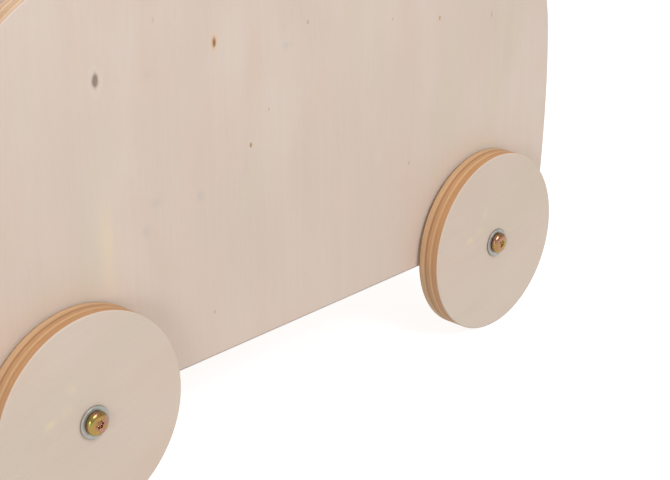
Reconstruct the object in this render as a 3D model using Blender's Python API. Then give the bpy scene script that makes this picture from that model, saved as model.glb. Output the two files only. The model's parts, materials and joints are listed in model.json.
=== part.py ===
"""Plywood toy wagon with a hinged pull handle, in metres, +Z up.

The front, with the handle, faces -X. The left side faces -Y. The origin is on the floor, in the
middle of the whole wagon's length and width.
"""

import math

import bmesh
import bpy
from mathutils import Vector

# Driving dimensions
FIT = 0.0003               # gap left between pieces that touch
WHEEL_RADIUS = 0.070
WHEEL_WIDTH = 0.018
WHEEL_EDGE = 0.0008        # chamfer round the wheel's faces
AXLE_SPACING = 0.392
INSIDE_WIDTH = 0.300
SIDE_THICKNESS = 0.015
SIDE_BOTTOM = 0.0645       # height of the side panels' straight lower edge
SIDE_TOP = 0.340
END_THICKNESS = 0.015
END_OUTSIDE = 0.256        # middle of the body to the outer face of an end panel
END_TOP = 0.275
FLOOR_THICKNESS = 0.012
BOARD_EDGE = 0.0010        # bevel on the boards' edges
BEAM_SIZE = 0.036
CLEAT_SIZE = 0.018
POST_SIZE = 0.020          # corner cleats
POST_TOP = 0.262

# Bowed outline of a side panel: arcs that follow each other without a corner
BOW_HEIGHT = 0.170         # height at which the side panel is longest
BOW_HALF_LENGTH = 0.2816
LOWER_BOW_RADIUS = 0.900
UPPER_BOW_RADIUS = 0.620
SHOULDER_HEIGHT = 0.222    # where the upper bow runs into the top corner
FOOT_RADIUS = 0.008        # rounding of the lower corners

# Wheel hardware, M8
SHANK_RADIUS = 0.0040
BORE_RADIUS = 0.0043
HEAD_RADIUS = 0.0080
HEAD_HEIGHT = 0.0042
RECESS_RADIUS = 0.0024
RECESS_DEPTH = 0.0020
WASHER_RADIUS = 0.0108
WASHER_THICKNESS = 0.0016
BUSH_RADIUS = 0.0060
BUSH_BORE = 0.0063         # hole that takes a bush or a threaded insert
AXLE_GRIP = 0.028          # length of the axle screw inside the beam
INSERT_LENGTH = 0.020

# Pull handle
PIVOT_OUT = 0.034          # pivot to the front panel's outer face
PIVOT_HEIGHT = 0.105
LEAN = math.radians(4.0)   # the stowed bar leans back on its pad
BAR_LENGTH = 0.440         # pivot to the middle of the grip
BAR_HALF_DEPTH = 0.016
BAR_WIDTH = 0.022
BAR_HEAD_RADIUS = 0.021
GRIP_RADIUS = 0.011
GRIP_LENGTH = 0.150
GRIP_END = 0.004           # rounding of the grip's ends
PIN_RADIUS = 0.003
PIN_LENGTH = 0.026
PIN_SUNK = 0.0008          # the pin ends below the head's top
CHEEK_WIDTH = 0.015
CHEEK_HALF_HEIGHT = 0.032
CHEEK_NOSE_RADIUS = 0.018
PAD_LOW = 0.236
PAD_HIGH = 0.262
PAD_HALF_WIDTH = 0.013
NUT_HEIGHT = 0.0068
NUT_RADIUS = 0.0074

# Wood screws
SCREW_RADIUS = 0.0021
SCREW_HEAD_RADIUS = 0.0042
SCREW_HEAD_HEIGHT = 0.0024
SCREW_LENGTH = 0.034
SCREW_TIP = 0.003

# Derived places
PIVOT_X = -(END_OUTSIDE + PIVOT_OUT)
BODY_X = (-(PIVOT_X - CHEEK_NOSE_RADIUS) - BOW_HALF_LENGTH) / 2
SIDE_INSIDE = INSIDE_WIDTH / 2
SIDE_OUTSIDE = SIDE_INSIDE + SIDE_THICKNESS
END_INSIDE = END_OUTSIDE - END_THICKNESS
INNER_WASHER = SIDE_OUTSIDE + FIT
WHEEL_INNER_FACE = INNER_WASHER + WASHER_THICKNESS + FIT
WHEEL_MIDDLE = WHEEL_INNER_FACE + WHEEL_WIDTH / 2
OUTER_WASHER = WHEEL_INNER_FACE + WHEEL_WIDTH + FIT
HEAD_SEAT = OUTER_WASHER + WASHER_THICKNESS + FIT
BEAM_TOP = WHEEL_RADIUS + BEAM_SIZE / 2
FLOOR_BOTTOM = BEAM_TOP + FIT
FLOOR_TOP = FLOOR_BOTTOM + FLOOR_THICKNESS
CHEEK_INSIDE = BAR_WIDTH / 2 + WASHER_THICKNESS + 2 * FIT
CHEEK_OUTSIDE = CHEEK_INSIDE + CHEEK_WIDTH

AXLES = {"front": -AXLE_SPACING / 2, "rear": AXLE_SPACING / 2}
SIDES = {"left": -1, "right": 1}
WHEEL_SEGMENTS = 64
HEAD_SEGMENTS = 20
HARDWARE_SEGMENTS = 16
SCREW_SEGMENTS = 12


def clear_scene():
    for obj in list(bpy.data.objects):
        bpy.data.objects.remove(obj, do_unlink=True)


def make_material(name, colour, roughness, metallic=0.0):
    material = bpy.data.materials.new(name)
    material.use_nodes = True
    shader = material.node_tree.nodes["Principled BSDF"]
    shader.inputs["Base Color"].default_value = (*colour, 1.0)
    shader.inputs["Roughness"].default_value = roughness
    shader.inputs["Metallic"].default_value = metallic
    return material


def make_object(name, mesh, material, location=(0, 0, 0), rotation=(0, 0, 0), parent=None):
    obj = bpy.data.objects.new(name, mesh)
    bpy.context.collection.objects.link(obj)
    if not mesh.materials:
        mesh.materials.append(material)
    obj.location = location
    obj.rotation_euler = rotation
    obj.parent = parent
    return obj


def make_empty(name, location, rotation):
    empty = bpy.data.objects.new(name, None)
    bpy.context.collection.objects.link(empty)
    empty.location = location
    empty.rotation_euler = rotation
    return empty


def finish_mesh(name, bm, smooth=False):
    bmesh.ops.remove_doubles(bm, verts=bm.verts, dist=1e-6)
    bmesh.ops.recalc_face_normals(bm, faces=bm.faces)
    mesh = bpy.data.meshes.new(name)
    bm.to_mesh(mesh)
    bm.free()
    if smooth:
        mesh.shade_smooth()
        mesh.set_sharp_from_angle(angle=math.radians(35))
    return mesh


def turned_mesh(name, profile, segments, closed):
    """Spin (radius, height) points round local Z. A closed profile makes a ring."""
    bm = bmesh.new()
    points = [bm.verts.new((radius, 0, height)) for radius, height in profile]
    pairs = list(zip(points, points[1:]))
    if closed:
        pairs.append((points[-1], points[0]))
    edges = [bm.edges.new(pair) for pair in pairs]
    bmesh.ops.spin(bm, geom=points + edges, cent=(0, 0, 0), axis=(0, 0, 1),
                   angle=math.tau, steps=segments, use_merge=True)
    return finish_mesh(name, bm, smooth=True)


def prism_mesh(name, outline, depth):
    """Extrude an (x, z) outline along Y, centred on Y = 0."""
    bm = bmesh.new()
    face = bm.faces.new([bm.verts.new((x, -depth / 2, z)) for x, z in outline])
    grown = bmesh.ops.extrude_face_region(bm, geom=[face])
    moved = [item for item in grown["geom"] if isinstance(item, bmesh.types.BMVert)]
    bmesh.ops.translate(bm, verts=moved, vec=(0, depth, 0))
    return finish_mesh(name, bm)


def box_mesh(name, size):
    bm = bmesh.new()
    bmesh.ops.create_cube(bm, size=1.0)
    bmesh.ops.scale(bm, verts=bm.verts, vec=size)
    return finish_mesh(name, bm)


def board(name, low, high, material):
    """A bevelled board between two corners."""
    low, high = Vector(low), Vector(high)
    obj = make_object(name, box_mesh(name, high - low), material, location=(low + high) / 2)
    ease_edges(obj)
    return obj


def ease_edges(obj, width=BOARD_EDGE):
    bevel = obj.modifiers.new("Eased edges", 'BEVEL')
    bevel.width = width
    bevel.segments = 1
    bevel.limit_method = 'ANGLE'
    bevel.angle_limit = math.radians(50)


def cut(obj, cutters):
    for cutter in cutters:
        boolean = obj.modifiers.new("Cut", 'BOOLEAN')
        boolean.operation = 'DIFFERENCE'
        boolean.solver = 'EXACT'
        boolean.object = cutter


def make_cutter(name, mesh, location, rotation=(0, 0, 0), parent=None):
    cutter = bpy.data.objects.new(name, mesh)
    bpy.context.collection.objects.link(cutter)
    cutter.location = location
    cutter.rotation_euler = rotation
    cutter.parent = parent
    cutter.hide_render = True
    cutter.display_type = 'WIRE'
    return cutter


def rod_mesh(name, radius, length, segments=HARDWARE_SEGMENTS):
    """A plain rod from local Z = -length / 2 to +length / 2."""
    half = length / 2
    return turned_mesh(name, [(0, half), (radius, half), (radius, -half), (0, -half)], segments, False)


def ring_mesh(name, inner, outer, thickness):
    """A plain ring, such as a washer or a bush, centred on its own middle."""
    half = thickness / 2
    profile = [(inner, -half), (inner, half), (outer, half), (outer, -half)]
    return turned_mesh(name, profile, HARDWARE_SEGMENTS, True)


def arc(centre, radius, start, end, steps):
    """Points on an arc in the XZ plane, from one angle to another."""
    angles = [start + (end - start) * step / steps for step in range(steps + 1)]
    return [(centre[0] + radius * math.cos(a), centre[1] + radius * math.sin(a)) for a in angles]


def side_outline():
    """One side panel's outline, round the body's middle, counter-clockwise from the lower right."""
    lower_centre = (BOW_HALF_LENGTH - LOWER_BOW_RADIUS, BOW_HEIGHT)
    foot_z = SIDE_BOTTOM + FOOT_RADIUS
    reach = LOWER_BOW_RADIUS - FOOT_RADIUS
    foot_x = lower_centre[0] + math.sqrt(reach ** 2 - (foot_z - BOW_HEIGHT) ** 2)
    foot_end = math.atan2(foot_z - BOW_HEIGHT, foot_x - lower_centre[0])
    foot = arc((foot_x, foot_z), FOOT_RADIUS, -math.pi / 2, foot_end, 5)
    lower_bow = arc(lower_centre, LOWER_BOW_RADIUS, foot_end, 0, 7)

    upper_centre = (BOW_HALF_LENGTH - UPPER_BOW_RADIUS, BOW_HEIGHT)
    shoulder = math.asin((SHOULDER_HEIGHT - BOW_HEIGHT) / UPPER_BOW_RADIUS)
    upper_bow = arc(upper_centre, UPPER_BOW_RADIUS, 0, shoulder, 3)

    corner_radius = (SIDE_TOP - SHOULDER_HEIGHT) / (1 - math.sin(shoulder))
    shoulder_x, shoulder_z = upper_bow[-1]
    corner_centre = (shoulder_x - corner_radius * math.cos(shoulder),
                     shoulder_z - corner_radius * math.sin(shoulder))
    corner = arc(corner_centre, corner_radius, shoulder, math.pi / 2, 16)

    right_half = foot + lower_bow[1:] + upper_bow[1:] + corner[1:]
    left_half = [(-x, z) for x, z in reversed(right_half)]
    return right_half + left_half


def machine_screw_mesh(name, length):
    """Dome-headed screw: its head sits on local Z = 0 and its shank runs down -Z."""
    dome = [(HEAD_RADIUS * 0.62, HEAD_HEIGHT * 0.88), (HEAD_RADIUS * 0.90, HEAD_HEIGHT * 0.60)]
    profile = [(0, HEAD_HEIGHT - RECESS_DEPTH), (RECESS_RADIUS, HEAD_HEIGHT - RECESS_DEPTH),
               (RECESS_RADIUS, HEAD_HEIGHT), *dome, (HEAD_RADIUS, HEAD_HEIGHT * 0.25),
               (HEAD_RADIUS, 0), (SHANK_RADIUS, 0), (SHANK_RADIUS, -length), (0, -length)]
    return turned_mesh(name, profile, HEAD_SEGMENTS, False)


def wood_screw_profile(grow=0.0, countersunk=True):
    """Profile of a wood screw whose head ends at local Z = 0; grow makes the hole for it."""
    head = SCREW_HEAD_RADIUS + grow
    shank = SCREW_RADIUS + grow
    depth = SCREW_HEAD_HEIGHT + grow
    end = SCREW_LENGTH + grow
    neck = [(shank, -depth)] if countersunk else [(head, -depth), (shank, -depth)]
    return [(0, 0), (head, 0), *neck, (shank, -end + SCREW_TIP), (shank * 0.3, -end), (0, -end)]


def wood_screw_mesh(name, countersunk):
    return turned_mesh(name, wood_screw_profile(0.0, countersunk), SCREW_SEGMENTS, False)


def outward(side):
    """Rotation that turns local +Z to point away from the wagon, on one side."""
    return (-side * math.pi / 2, 0, 0)


def build_axle_cutters():
    """Stepped holes for axle screws and inserts, one for each wheel."""
    reach = SIDE_THICKNESS + FIT
    step = -FIT - INSERT_LENGTH - 2 * FIT
    end = -AXLE_GRIP - 2 * FIT
    profile = [(0, reach + FIT), (BORE_RADIUS, reach + FIT), (BORE_RADIUS, 0), (BUSH_BORE, 0),
               (BUSH_BORE, step), (BORE_RADIUS, step), (BORE_RADIUS, end), (0, end)]
    mesh = turned_mesh("axle_hole", profile, HARDWARE_SEGMENTS, False)
    cutters = {}
    for axle, x in AXLES.items():
        for side, sign in SIDES.items():
            place = (BODY_X + x, sign * SIDE_INSIDE, WHEEL_RADIUS)
            cutters[axle, side] = make_cutter(f"{axle}_{side}_axle_hole", mesh, place, outward(sign))
    return cutters


def build_sides(wood, axle_cutters):
    for side, sign in SIDES.items():
        mesh = prism_mesh(f"{side}_side", side_outline(), SIDE_THICKNESS)
        middle = sign * (SIDE_INSIDE + SIDE_THICKNESS / 2)
        panel = make_object(f"{side}_side_panel", mesh, wood, location=(BODY_X, middle, 0))
        ease_edges(panel)
        cut(panel, [axle_cutters[axle, side] for axle in AXLES])


def build_ends(wood, bracket_cutters):
    half_width = SIDE_INSIDE - FIT
    for name, sign in (("front_panel", -1), ("rear_panel", 1)):
        near, far = sorted((sign * END_INSIDE, sign * END_OUTSIDE))
        low = (BODY_X + near, -half_width, SIDE_BOTTOM)
        high = (BODY_X + far, half_width, END_TOP)
        panel = board(name, low, high, wood)
        if sign < 0:
            cut(panel, bracket_cutters)


def build_floor(wood, batten, floor_cutters, post_cutters, axle_cutters):
    """Floor panel, notched round the corner cleats, on its two axle beams and two cleats."""
    half_width = SIDE_INSIDE - FIT
    floor = board("floor_panel", (BODY_X - END_INSIDE + FIT, -half_width, FLOOR_BOTTOM),
                  (BODY_X + END_INSIDE - FIT, half_width, FLOOR_TOP), wood)
    cut(floor, floor_cutters + post_cutters)
    half_beam = BEAM_SIZE / 2
    for axle, x in AXLES.items():
        beam = board(f"{axle}_axle_beam", (BODY_X + x - half_beam, -half_width, BEAM_TOP - BEAM_SIZE),
                     (BODY_X + x + half_beam, half_width, BEAM_TOP), batten)
        holes = [cutter for cutter in floor_cutters if abs(cutter.location.x - BODY_X - x) < half_beam]
        cut(beam, holes + [axle_cutters[axle, side] for side in SIDES])
    cleat_reach = AXLE_SPACING / 2 - half_beam - FIT
    for side, sign in SIDES.items():
        inner, outer = sorted((sign * (half_width - CLEAT_SIZE), sign * half_width))
        board(f"{side}_floor_cleat", (BODY_X - cleat_reach, inner, BEAM_TOP - CLEAT_SIZE),
              (BODY_X + cleat_reach, outer, BEAM_TOP), batten)


def build_corner_cleats(batten):
    """Upright cleats in the four corners; returns the cutters of the floor's notches round them."""
    notch_size = POST_SIZE + 4 * FIT
    notch = box_mesh("corner_notch", (notch_size, notch_size, 4 * FLOOR_THICKNESS))
    cutters = []
    for end, x_sign in (("front", -1), ("rear", 1)):
        for side, y_sign in SIDES.items():
            centre = Vector((BODY_X + x_sign * (END_INSIDE - FIT - POST_SIZE / 2),
                             y_sign * (SIDE_INSIDE - FIT - POST_SIZE / 2), 0))
            reach = Vector((POST_SIZE / 2, POST_SIZE / 2, 0))
            board(f"{end}_{side}_corner_cleat", centre - reach + Vector((0, 0, SIDE_BOTTOM)),
                  centre + reach + Vector((0, 0, POST_TOP)), batten)
            cutters.append(make_cutter(f"{end}_{side}_notch", notch, centre + Vector((0, 0, FLOOR_TOP))))
    return cutters


def build_floor_screws(steel):
    """Countersunk screws through the floor into the beams; returns the cutters of their holes."""
    screw = wood_screw_mesh("floor_screw", countersunk=True)
    hole = turned_mesh("floor_screw_hole", wood_screw_profile(FIT), SCREW_SEGMENTS, False)
    cutters = []
    for axle, x in AXLES.items():
        for side, sign in SIDES.items():
            place = Vector((BODY_X + x, sign * SIDE_INSIDE * 0.6, FLOOR_TOP))
            make_object(f"{axle}_{side}_floor_screw", screw, steel, location=place - Vector((0, 0, FIT)))
            cutters.append(make_cutter(f"{axle}_{side}_floor_hole", hole, place))
    return cutters


def build_wheels(wood, bushing):
    """Wheels and their bushes, each turning about an empty at its own middle."""
    half = WHEEL_WIDTH / 2
    rim = WHEEL_RADIUS - WHEEL_EDGE
    profile = [(BUSH_BORE, -half), (BUSH_BORE, half), (rim, half), (WHEEL_RADIUS, half - WHEEL_EDGE),
               (WHEEL_RADIUS, -half + WHEEL_EDGE), (rim, -half)]
    wheel_mesh = turned_mesh("wheel", profile, WHEEL_SEGMENTS, True)
    bush_mesh = ring_mesh("wheel_bush", BORE_RADIUS, BUSH_RADIUS, WHEEL_WIDTH)
    for axle, x in AXLES.items():
        for side, sign in SIDES.items():
            centre = (BODY_X + x, sign * WHEEL_MIDDLE, WHEEL_RADIUS)
            hub = make_empty(f"{axle}_{side}_hub", centre, outward(sign))
            make_object(f"{axle}_{side}_wheel", wheel_mesh, wood, parent=hub)
            make_object(f"{axle}_{side}_wheel_bush", bush_mesh, bushing, parent=hub)


def build_wheel_hardware(screw_metal, steel):
    screw = machine_screw_mesh("axle_screw", HEAD_SEAT - SIDE_INSIDE + AXLE_GRIP)
    washer = ring_mesh("axle_washer", BORE_RADIUS, WASHER_RADIUS, WASHER_THICKNESS)
    insert = ring_mesh("axle_insert", BORE_RADIUS, BUSH_RADIUS, INSERT_LENGTH)
    half_washer = WASHER_THICKNESS / 2
    insert_middle = SIDE_INSIDE - 2 * FIT - INSERT_LENGTH / 2
    for axle, x in AXLES.items():
        for side, sign in SIDES.items():
            places = (("axle_screw", screw, screw_metal, HEAD_SEAT),
                      ("outer_washer", washer, steel, OUTER_WASHER + half_washer),
                      ("spacer_washer", washer, steel, INNER_WASHER + half_washer),
                      ("threaded_insert", insert, steel, insert_middle))
            for piece, mesh, material, reach in places:
                place = (BODY_X + x, sign * reach, WHEEL_RADIUS)
                make_object(f"{axle}_{side}_{piece}", mesh, material, place, outward(sign))


def cheek_outline():
    """Bracket cheek: a flat foot on the front panel that narrows to a round nose at the pivot."""
    foot_x = PIVOT_OUT - FIT
    slant = math.atan2(CHEEK_HALF_HEIGHT, foot_x)
    touch = slant + math.acos(CHEEK_NOSE_RADIUS / math.hypot(foot_x, CHEEK_HALF_HEIGHT))
    nose = arc((0, 0), CHEEK_NOSE_RADIUS, touch, math.tau - touch, 14)
    return [(foot_x, CHEEK_HALF_HEIGHT), *nose, (foot_x, -CHEEK_HALF_HEIGHT)]


def build_bracket(wood, steel):
    """Two wooden cheeks on the front panel, screwed from inside; returns the screw holes' cutters."""
    bore = rod_mesh("cheek_bore", BORE_RADIUS, 4 * CHEEK_OUTSIDE)
    bore_cutter = make_cutter("pivot_hole", bore, (BODY_X + PIVOT_X, 0, PIVOT_HEIGHT), outward(1))
    screw = wood_screw_mesh("bracket_screw", countersunk=True)
    hole = turned_mesh("bracket_screw_hole", wood_screw_profile(FIT), SCREW_SEGMENTS, False)
    inward = (0, math.pi / 2, 0)
    cutters = []
    cheek_middle = (CHEEK_INSIDE + CHEEK_OUTSIDE) / 2
    for side, sign in SIDES.items():
        mesh = prism_mesh(f"{side}_cheek", cheek_outline(), CHEEK_WIDTH)
        cheek = make_object(f"{side}_bracket_cheek", mesh, wood,
                            location=(BODY_X + PIVOT_X, sign * cheek_middle, PIVOT_HEIGHT))
        ease_edges(cheek)
        holes = []
        for level, offset in (("upper", 1), ("lower", -1)):
            height = PIVOT_HEIGHT + offset * CHEEK_HALF_HEIGHT * 0.62
            place = Vector((BODY_X - END_INSIDE, sign * cheek_middle, height))
            make_object(f"{side}_{level}_bracket_screw", screw, steel,
                        location=place - Vector((FIT, 0, 0)), rotation=inward)
            holes.append(make_cutter(f"{side}_{level}_bracket_hole", hole, place, inward))
        cut(cheek, [bore_cutter, *holes])
        cutters.extend(holes)
    return cutters


def build_rest_pad(rubber):
    """Wedge on the front panel that the stowed bar leans on."""
    def bar_back(height):
        return PIVOT_X + (height - PIVOT_HEIGHT) * math.tan(LEAN) + BAR_HALF_DEPTH / math.cos(LEAN)

    clear = 2 * FIT
    outline = [(-END_OUTSIDE - FIT, PAD_LOW), (-END_OUTSIDE - FIT, PAD_HIGH),
               (bar_back(PAD_HIGH) + clear, PAD_HIGH), (bar_back(PAD_LOW) + clear, PAD_LOW)]
    mesh = prism_mesh("handle_rest_pad", outline, 2 * PAD_HALF_WIDTH)
    pad = make_object("handle_rest_pad", mesh, rubber, location=(BODY_X, 0, 0))
    ease_edges(pad)


def bar_outline():
    """Drawbar: straight, round at the pivot, with a wider round head for the grip."""
    lean_in = math.asin((BAR_HEAD_RADIUS - BAR_HALF_DEPTH) / BAR_HEAD_RADIUS)
    neck = math.acos(BAR_HALF_DEPTH / BAR_HEAD_RADIUS)
    head = arc((0, BAR_LENGTH), BAR_HEAD_RADIUS, -neck, math.pi + neck, 16)
    taper = BAR_LENGTH - BAR_HEAD_RADIUS * (math.sin(neck) + 4 * math.sin(lean_in))
    foot = arc((0, 0), BAR_HALF_DEPTH, math.pi, math.tau, 10)
    return [(BAR_HALF_DEPTH, taper), *head, (-BAR_HALF_DEPTH, taper), *foot]


def build_handle(wood, dowel, bushing):
    """Everything that swings, on an empty at the pivot."""
    pivot = make_empty("handle_pivot", (BODY_X + PIVOT_X, 0, PIVOT_HEIGHT), (0, LEAN, 0))
    across = outward(1)
    bar = make_object("drawbar", prism_mesh("drawbar", bar_outline(), BAR_WIDTH), wood, parent=pivot)
    ease_edges(bar, 0.002)
    top = BAR_LENGTH + BAR_HEAD_RADIUS
    pivot_hole = make_cutter("drawbar_pivot_hole", rod_mesh("pivot_hole", BUSH_BORE, 2 * BAR_WIDTH),
                             (0, 0, 0), across, pivot)
    grip_hole = make_cutter("drawbar_grip_hole", rod_mesh("grip_hole", GRIP_RADIUS + FIT, 2 * BAR_WIDTH),
                            (0, 0, BAR_LENGTH), across, pivot)
    pin_depth = PIN_SUNK + PIN_LENGTH + FIT
    pin_bore = rod_mesh("pin_hole", PIN_RADIUS + FIT, 2 * pin_depth, SCREW_SEGMENTS)
    pin_hole = make_cutter("pin_hole", pin_bore, (0, 0, top), parent=pivot)
    cut(bar, [pivot_hole, grip_hole, pin_hole])

    half = GRIP_LENGTH / 2
    slope = GRIP_END * 0.3
    profile = [(0, half), (GRIP_RADIUS - GRIP_END, half), (GRIP_RADIUS - slope, half - slope),
               (GRIP_RADIUS, half - GRIP_END), (GRIP_RADIUS, -half + GRIP_END),
               (GRIP_RADIUS - slope, -half + slope), (GRIP_RADIUS - GRIP_END, -half), (0, -half)]
    grip = make_object("grip", turned_mesh("grip", profile, HEAD_SEGMENTS, False), dowel,
                       location=(0, 0, BAR_LENGTH), rotation=across, parent=pivot)
    cut(grip, [pin_hole])
    make_object("grip_pin", rod_mesh("grip_pin", PIN_RADIUS, PIN_LENGTH, SCREW_SEGMENTS), dowel,
                location=(0, 0, top - PIN_SUNK - PIN_LENGTH / 2), parent=pivot)
    make_object("handle_bush", ring_mesh("handle_bush", BORE_RADIUS, BUSH_RADIUS, BAR_WIDTH), bushing,
                rotation=across, parent=pivot)


def build_pivot_hardware(screw_metal, steel):
    """The bolt that the handle turns on, with its washers and nut."""
    washer = ring_mesh("pivot_washer", BORE_RADIUS, WASHER_RADIUS, WASHER_THICKNESS)
    half_washer = WASHER_THICKNESS / 2
    outer = CHEEK_OUTSIDE + FIT + half_washer
    inner = BAR_WIDTH / 2 + FIT + half_washer
    for side, sign in SIDES.items():
        for piece, reach in (("pivot_washer", outer), ("pivot_spacer", inner)):
            place = (BODY_X + PIVOT_X, sign * reach, PIVOT_HEIGHT)
            make_object(f"{side}_{piece}", washer, steel, place, outward(sign))
    seat = outer + half_washer + FIT
    bolt = machine_screw_mesh("pivot_bolt", 2 * seat + NUT_HEIGHT)
    make_object("pivot_bolt", bolt, screw_metal, (BODY_X + PIVOT_X, -seat, PIVOT_HEIGHT), outward(-1))
    half = NUT_HEIGHT / 2
    chamfer = 0.0008
    profile = [(0, half), (NUT_RADIUS - chamfer, half), (NUT_RADIUS, half - chamfer),
               (NUT_RADIUS, -half + chamfer), (NUT_RADIUS - chamfer, -half), (0, -half)]
    nut = make_object("pivot_nut", turned_mesh("pivot_nut", profile, 6, False), steel,
                      (BODY_X + PIVOT_X, seat + half, PIVOT_HEIGHT), outward(1))
    bore = make_cutter("nut_bore", rod_mesh("nut_bore", BORE_RADIUS, 2 * NUT_HEIGHT),
                       nut.location, outward(1))
    cut(nut, [bore])


def main():
    clear_scene()
    panel_ply = make_material("panel_plywood", (0.68, 0.57, 0.48), 0.62)
    wheel_ply = make_material("wheel_plywood", (0.68, 0.57, 0.48), 0.60)
    batten = make_material("batten_wood", (0.60, 0.45, 0.30), 0.65)
    beech = make_material("beech", (0.62, 0.42, 0.26), 0.50)
    yellow_zinc = make_material("yellow_zinc", (0.62, 0.47, 0.22), 0.30, 1.0)
    bright_zinc = make_material("bright_zinc", (0.55, 0.55, 0.53), 0.38, 1.0)
    nylon = make_material("nylon", (0.80, 0.79, 0.75), 0.45)
    rubber = make_material("rubber", (0.05, 0.05, 0.05), 0.75)

    axle_cutters = build_axle_cutters()
    floor_cutters = build_floor_screws(bright_zinc)
    bracket_cutters = build_bracket(beech, bright_zinc)
    build_sides(panel_ply, axle_cutters)
    build_ends(panel_ply, bracket_cutters)
    post_cutters = build_corner_cleats(batten)
    build_floor(panel_ply, batten, floor_cutters, post_cutters, axle_cutters)
    build_wheels(wheel_ply, nylon)
    build_wheel_hardware(yellow_zinc, bright_zinc)
    build_rest_pad(rubber)
    build_handle(beech, beech, nylon)
    build_pivot_hardware(yellow_zinc, bright_zinc)


main()
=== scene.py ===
"""Looks of a plywood toy wagon with a pull handle, built round its CAD frame. Metres, +Z up.

The front, with the handle, faces -X and the left side faces -Y. Every piece is made in place, in
the frame's own axes, and rides on the body it belongs to.
"""

from __future__ import annotations

import json
import logging
import math
from collections.abc import Callable, Iterable, Mapping, Sequence
from dataclasses import dataclass
from enum import Enum

import bmesh
import bpy
from mathutils import Matrix, Vector


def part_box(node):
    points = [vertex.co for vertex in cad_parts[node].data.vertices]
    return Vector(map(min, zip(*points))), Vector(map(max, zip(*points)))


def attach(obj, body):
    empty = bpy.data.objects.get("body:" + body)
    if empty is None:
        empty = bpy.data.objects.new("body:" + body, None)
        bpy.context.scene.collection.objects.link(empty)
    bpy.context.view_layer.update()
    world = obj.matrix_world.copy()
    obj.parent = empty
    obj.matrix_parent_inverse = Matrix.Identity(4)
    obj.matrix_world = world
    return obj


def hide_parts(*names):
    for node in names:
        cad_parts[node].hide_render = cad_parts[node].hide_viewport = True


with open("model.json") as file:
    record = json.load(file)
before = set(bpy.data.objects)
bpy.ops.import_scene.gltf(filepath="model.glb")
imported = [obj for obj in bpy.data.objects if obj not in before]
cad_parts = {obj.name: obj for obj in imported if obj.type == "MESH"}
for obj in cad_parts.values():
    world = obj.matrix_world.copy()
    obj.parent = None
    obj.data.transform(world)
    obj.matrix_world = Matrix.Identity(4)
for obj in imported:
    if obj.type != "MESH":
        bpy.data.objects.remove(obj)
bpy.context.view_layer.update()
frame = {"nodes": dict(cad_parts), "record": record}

LOG = logging.getLogger("wagon")

Point = tuple[float, float]
Colour = tuple[float, float, float, float]
Socket = bpy.types.NodeSocket
Feed = float | Sequence[float] | Socket
Ring = list[bmesh.types.BMVert]

MERGE = 1e-6               # vertices closer than this are one
SHARP = math.radians(38)   # an edge sharper than this stays crisp
FIT = 0.0003               # gap between pieces that touch, as in the CAD
LOBES = 6                  # points of a star recess
BOLT_BORE = 0.0043         # radius of the clearance hole for an 8 mm screw
NUT_COLLAR = 0.0055        # a nut's rings inside this radius are round


class Labelled(Enum):
    """A choice whose name is part of the frame's node names."""

    @property
    def label(self) -> str:
        """The name as the frame's nodes spell it."""
        return self.name.lower()


class Side(Labelled):
    """The wagon's two sides, with the direction of each along Y."""

    LEFT = -1
    RIGHT = 1


class End(Labelled):
    """The wagon's two ends, with the direction of each along X."""

    FRONT = -1
    REAR = 1


class Axis(Enum):
    """A coordinate axis, by its index in a vector."""

    X = 0
    Y = 1
    Z = 2


class Slot(Enum):
    """The record's material slots."""

    PANEL = "panel_plywood"
    WHEEL = "wheel_plywood"
    BATTEN = "batten_wood"
    BEECH = "beech"
    YELLOW_ZINC = "yellow_zinc"
    BRIGHT_ZINC = "bright_zinc"
    NYLON = "nylon"
    RUBBER = "rubber"


class Body(Enum):
    """The bodies that aren't wheels."""

    WAGON = "wagon_body"
    HANDLE = "pull_handle"


CORNERS = tuple((end, side) for end in End for side in Side)


def corner_nodes(kind: str) -> list[str]:
    """The four CAD nodes of one kind, in the order of CORNERS."""
    return [f"{end.label}_{side.label}_{kind}" for end, side in CORNERS]


# ---------------------------------------------------------------- frame helpers

@dataclass(frozen=True)
class Box:
    """The box round one CAD node."""

    low: Vector
    high: Vector

    @classmethod
    def of(cls, node: str) -> Box:
        """The box of a node, by its name."""
        low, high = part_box(node)
        return cls(Vector(low), Vector(high))

    @property
    def middle(self) -> Vector:
        """The box's centre."""
        return (self.low + self.high) / 2

    @property
    def size(self) -> Vector:
        """The box's three sides."""
        return self.high - self.low


def joint_place(name: str) -> Vector:
    """Where a joint's axis passes.

    Args:
        name: the joint's name in the record.

    Returns:
        The joint's position in the frame.
    """
    joints = {joint["name"]: joint for joint in frame["record"]["behaviour"]["joints"]}
    return Vector(joints[name]["pos_m"])


def srgb(red: int, green: int, blue: int) -> Colour:
    """A linear colour from display values of 0 to 255."""
    channels = [value / 255 for value in (red, green, blue)]
    linear = [c / 12.92 if c <= 0.04045 else ((c + 0.055) / 1.055) ** 2.4 for c in channels]
    return (*linear, 1.0)


# ---------------------------------------------------------------- mesh helpers

def arc(centre: Point, radius: float, start: float, end: float, steps: int) -> list[Point]:
    """Points along an arc.

    Args:
        centre: the arc's centre.
        radius: its radius.
        start: angle of the first point, in radians.
        end: angle of the last point.
        steps: number of steps between them.

    Returns:
        steps + 1 points.
    """
    angles = [start + (end - start) * step / steps for step in range(steps + 1)]
    return [(centre[0] + radius * math.cos(a), centre[1] + radius * math.sin(a)) for a in angles]


def ring(centre: Point, radius: float, steps: int = 40) -> list[Point]:
    """A closed round loop, for a hole."""
    return arc(centre, radius, 0, math.tau, steps)[:-1]


def linked(name: str, data: bpy.types.ID) -> bpy.types.Object:
    """A new object in the scene that holds the data."""
    item = bpy.data.objects.new(name, data)
    bpy.context.collection.objects.link(item)
    return item


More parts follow.
